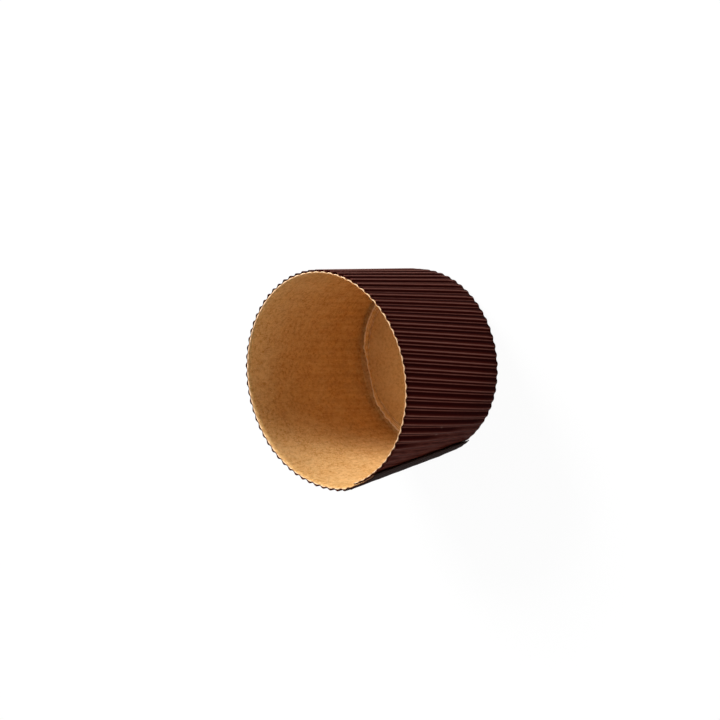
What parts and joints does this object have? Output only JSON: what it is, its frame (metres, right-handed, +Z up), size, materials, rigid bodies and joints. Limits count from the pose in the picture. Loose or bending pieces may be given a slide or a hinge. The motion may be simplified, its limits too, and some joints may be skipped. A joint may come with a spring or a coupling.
{
  "type": "panettone paper mold",
  "caption": "Tapered round paper baking mold with a fluted outer wrap, a smooth kraft liner, a lapped side seam and a flat base disc.",
  "frame": {"origin": "middle of the underside, on the mold's axis", "axes": "+Z up the axis to the open mouth, -Y out through the lapped side seam"},
  "size_m": [0.0718, 0.0722, 0.051],
  "materials": {
    "brown_fluted_paper": "satin dark brown corrugated paper",
    "kraft_liner_paper": "matt natural kraft paper",
    "kraft_disc_paper": "matt natural kraft paper, slightly heavier"
  },
  "bodies": {
    "root": {"fluted_wrap": "brown_fluted_paper", "kraft_liner": "kraft_liner_paper", "base_disc": "kraft_disc_paper"}
  },
  "joints": []
}
